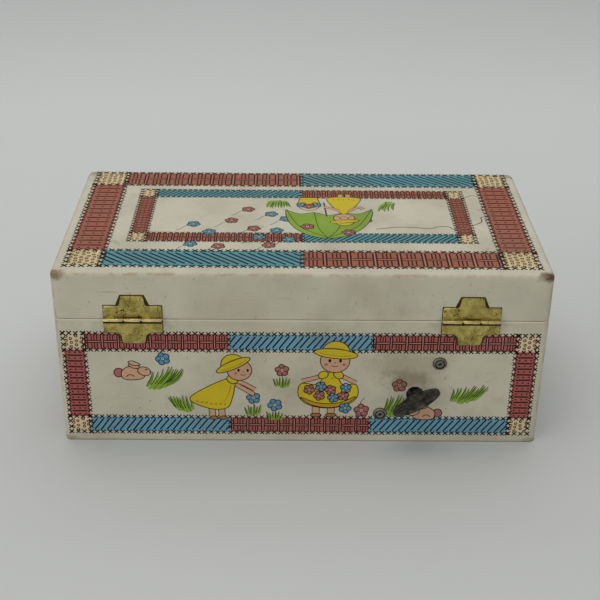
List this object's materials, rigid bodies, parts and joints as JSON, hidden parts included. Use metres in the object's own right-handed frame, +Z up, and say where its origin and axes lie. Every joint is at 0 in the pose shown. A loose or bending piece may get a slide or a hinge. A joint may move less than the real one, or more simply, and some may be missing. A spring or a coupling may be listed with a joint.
{
  "type": "musical jewellery box",
  "caption": "Paper-covered musical jewellery box with a hinged lid, a rear winding key and a folding doll that turns to the music.",
  "frame": {"origin": "centre of the base, on the surface it stands on", "axes": "+X towards the right seen from the catch side, along the box's longest side; +Y towards the back with the hinges and winding key; +Z up"},
  "size_m": [0.24, 0.1434, 0.0954],
  "materials": {
    "board": "dense brown pulp board and thin wood under the paper",
    "printed_paper": "cream coated paper with a printed patchwork border and nursery motifs, rubbed at the edges",
    "base_paper": "plain cream paper, scuffed by use",
    "satin_lining": "rose satin on thin card",
    "velvet": "short rose velvet over padding",
    "hinge_brass": "stamped brass-plated sheet, tarnished and pitted",
    "pin_steel": "plain drawn steel wire",
    "washer_metal": "pressed cup washers, dull nickel over brass",
    "screw_steel": "slotted steel heads, darkened",
    "key_metal": "dark tarnished steel with a mottled grey skin",
    "zinc_casting": "die-cast zinc, matt",
    "movement_brass": "machined brass, satin",
    "bright_steel": "polished spring steel",
    "doll_plastic": "flesh-coloured moulded plastic",
    "tulle": "stiffened pale pink tulle",
    "mirror_glass": "silvered glass",
    "gilt_frame": "thin gilt embossed trim"
  },
  "bodies": {
    "case": {"floor_board": "board", "front_board": "board", "back_board": "board", "left_board": "board", "right_board": "board", "case_paper": "printed_paper", "base_sheet": "base_paper", "wall_lining": "satin_lining", "right_floor_pad": "satin_lining", "front_floor_pad": "satin_lining", "divider": "satin_lining", "stage_front_wall": "satin_lining", "stage_platform": "satin_lining", "ring_rolls": "velvet", "left_hinge_case_leaf": "hinge_brass", "right_hinge_case_leaf": "hinge_brass", "hinge_pins": "pin_steel", "catch_plate": "hinge_brass", "movement_bedplate": "zinc_casting", "spring_drum": "movement_brass", "mainspring": "bright_steel", "comb": "bright_steel", "comb_screws": "bright_steel", "governor_frame": "movement_brass", "mounting_screws": "screw_steel", "cup_washers": "washer_metal", "spindle_bush": "movement_brass", "stop_lever_guide": "board", "dancer_spring": "bright_steel"},
    "lid": {"lid_top_panel": "board", "lid_front_board": "board", "lid_back_board": "board", "lid_left_board": "board", "lid_right_board": "board", "lid_paper": "printed_paper", "lid_lining": "satin_lining", "mirror_glass": "mirror_glass", "mirror_frame": "gilt_frame", "left_hinge_lid_leaf": "hinge_brass", "right_hinge_lid_leaf": "hinge_brass", "catch_tongue": "hinge_brass", "lid_stop_block": "board"},
    "key": {"winding_key": "key_metal", "winding_arbor": "bright_steel", "great_wheel": "movement_brass"},
    "cylinder": {"music_cylinder": "movement_brass", "cylinder_pins": "bright_steel", "cylinder_pinion": "movement_brass", "cylinder_gear": "movement_brass"},
    "governor": {"governor_wheel": "movement_brass"},
    "fly": {"fly_pinion": "movement_brass", "air_fly": "bright_steel"},
    "spindle": {"dancer_spindle": "bright_steel", "spindle_wheel": "movement_brass"},
    "dancer_stem": {"dancer_ferrule": "movement_brass"},
    "dancer": {"dancer_body": "doll_plastic", "dancer_head": "doll_plastic", "dancer_arms": "doll_plastic", "dancer_skirt": "tulle"},
    "stop_wire": {"stop_lever": "bright_steel"}
  },
  "joints": [
    {"name": "lid_hinge", "type": "hinge", "parent": "case", "child": "lid", "pos_m": [0, 0.06555, 0.0706], "axis": [-1, 0, 0], "range_deg": [0, 100]},
    {"name": "key_turn", "type": "hinge", "parent": "case", "child": "key", "pos_m": [-0.0567, 0.06, 0.0287], "axis": [0, 1, 0], "continuous": true},
    {"name": "cylinder_spin", "type": "hinge", "parent": "case", "child": "cylinder", "pos_m": [-0.0758, 0.0369, 0.0287], "axis": [1, 0, 0], "continuous": true},
    {"name": "governor_spin", "type": "hinge", "parent": "case", "child": "governor", "pos_m": [-0.088, 0.0423, 0.0215], "axis": [1, 0, 0], "continuous": true},
    {"name": "fly_spin", "type": "hinge", "parent": "case", "child": "fly", "pos_m": [-0.076, 0.0347, 0.0158], "axis": [1, 0, 0], "continuous": true},
    {"name": "spindle_spin", "type": "hinge", "parent": "case", "child": "spindle", "pos_m": [-0.06003, 0.0369, 0.045], "axis": [0, 0, 1], "continuous": true},
    {"name": "dancer_fold", "type": "hinge", "parent": "case", "child": "dancer_stem", "pos_m": [-0.06003, 0.0369, 0.058], "axis": [-1, 0, 0], "range_deg": [0, 60], "deforming": ["dancer_spring"]},
    {"name": "dancer_spin", "type": "hinge", "parent": "dancer_stem", "child": "dancer", "pos_m": [-0.06003, 0.0369, 0.058], "axis": [0, -0.866, 0.5], "continuous": true},
    {"name": "stop_slide", "type": "slide", "parent": "case", "child": "stop_wire", "axis": [0, 0, 1], "range_m": [0, 0.004]}
  ],
  "couplings": [
    {"joint": "cylinder_spin", "follows": "key_turn", "ratio": 1.3333},
    {"joint": "governor_spin", "follows": "key_turn", "ratio": -3.4667},
    {"joint": "fly_spin", "follows": "key_turn", "ratio": 9.7067},
    {"joint": "spindle_spin", "follows": "key_turn", "ratio": 1.7143},
    {"joint": "dancer_spin", "follows": "key_turn", "ratio": 1.7143},
    {"joint": "dancer_fold", "follows": "lid_hinge", "ratio": 0.6},
    {"joint": "stop_slide", "follows": "lid_hinge", "m_per_rad": 0.00229}
  ]
}
